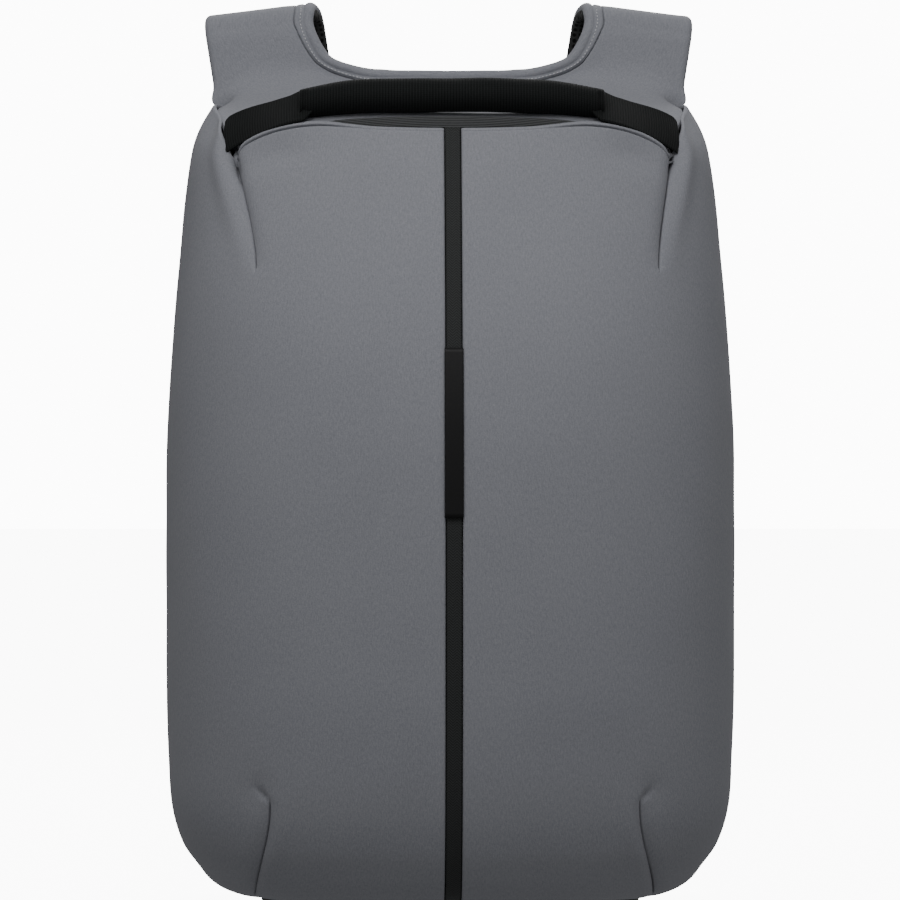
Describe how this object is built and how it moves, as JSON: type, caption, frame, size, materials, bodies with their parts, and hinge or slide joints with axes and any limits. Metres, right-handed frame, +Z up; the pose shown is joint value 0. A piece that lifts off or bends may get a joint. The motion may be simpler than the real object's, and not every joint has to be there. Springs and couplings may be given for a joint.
{
  "type": "anti theft backpack",
  "caption": "Slim grey laptop backpack with a rounded front, a black centre strip, a padded top handle and padded shoulder straps, closed by a zip against the wearer's back.",
  "frame": {"origin": "middle of the flat base, below the centre of the whole bag's outline seen from above", "axes": "+Z up; the front with its centre strip faces -Y, and the zip, back panel and straps face +Y; +X is to the right seen from the front"},
  "size_m": [0.2952, 0.203, 0.4695],
  "materials": {
    "grey_fabric": "smooth mid grey polyester laminated on foam, very fine twill, matt",
    "black_webbing": "black ribbed polyester webbing, matt with a faint sheen on the ribs",
    "black_mesh": "black spacer mesh with small holes over foam, matt",
    "black_fabric": "plain black coated polyester, matt",
    "zip_tape": "black zip tape with a fine coil",
    "black_plastic": "smooth black moulded plastic, semi-matt"
  },
  "bodies": {
    "root": {"panel_right": "grey_fabric", "panel_left": "grey_fabric", "centre_strip": "black_webbing", "strip_label": "black_plastic", "base_panel": "black_fabric", "yoke": "grey_fabric", "neck_binding": "grey_fabric", "strap_right": "grey_fabric", "strap_left": "grey_fabric", "strap_lining_right": "black_mesh", "strap_lining_left": "black_mesh", "handle_webbing": "black_webbing", "handle_grip": "black_webbing", "zip": "zip_tape", "zip_slider": "black_plastic", "back_panel": "black_mesh", "adjuster_right": "black_plastic", "adjuster_left": "black_plastic", "lower_webbing_right": "black_webbing", "lower_webbing_left": "black_webbing", "webbing_tab_right": "grey_fabric", "webbing_tab_left": "grey_fabric"}
  },
  "joints": []
}
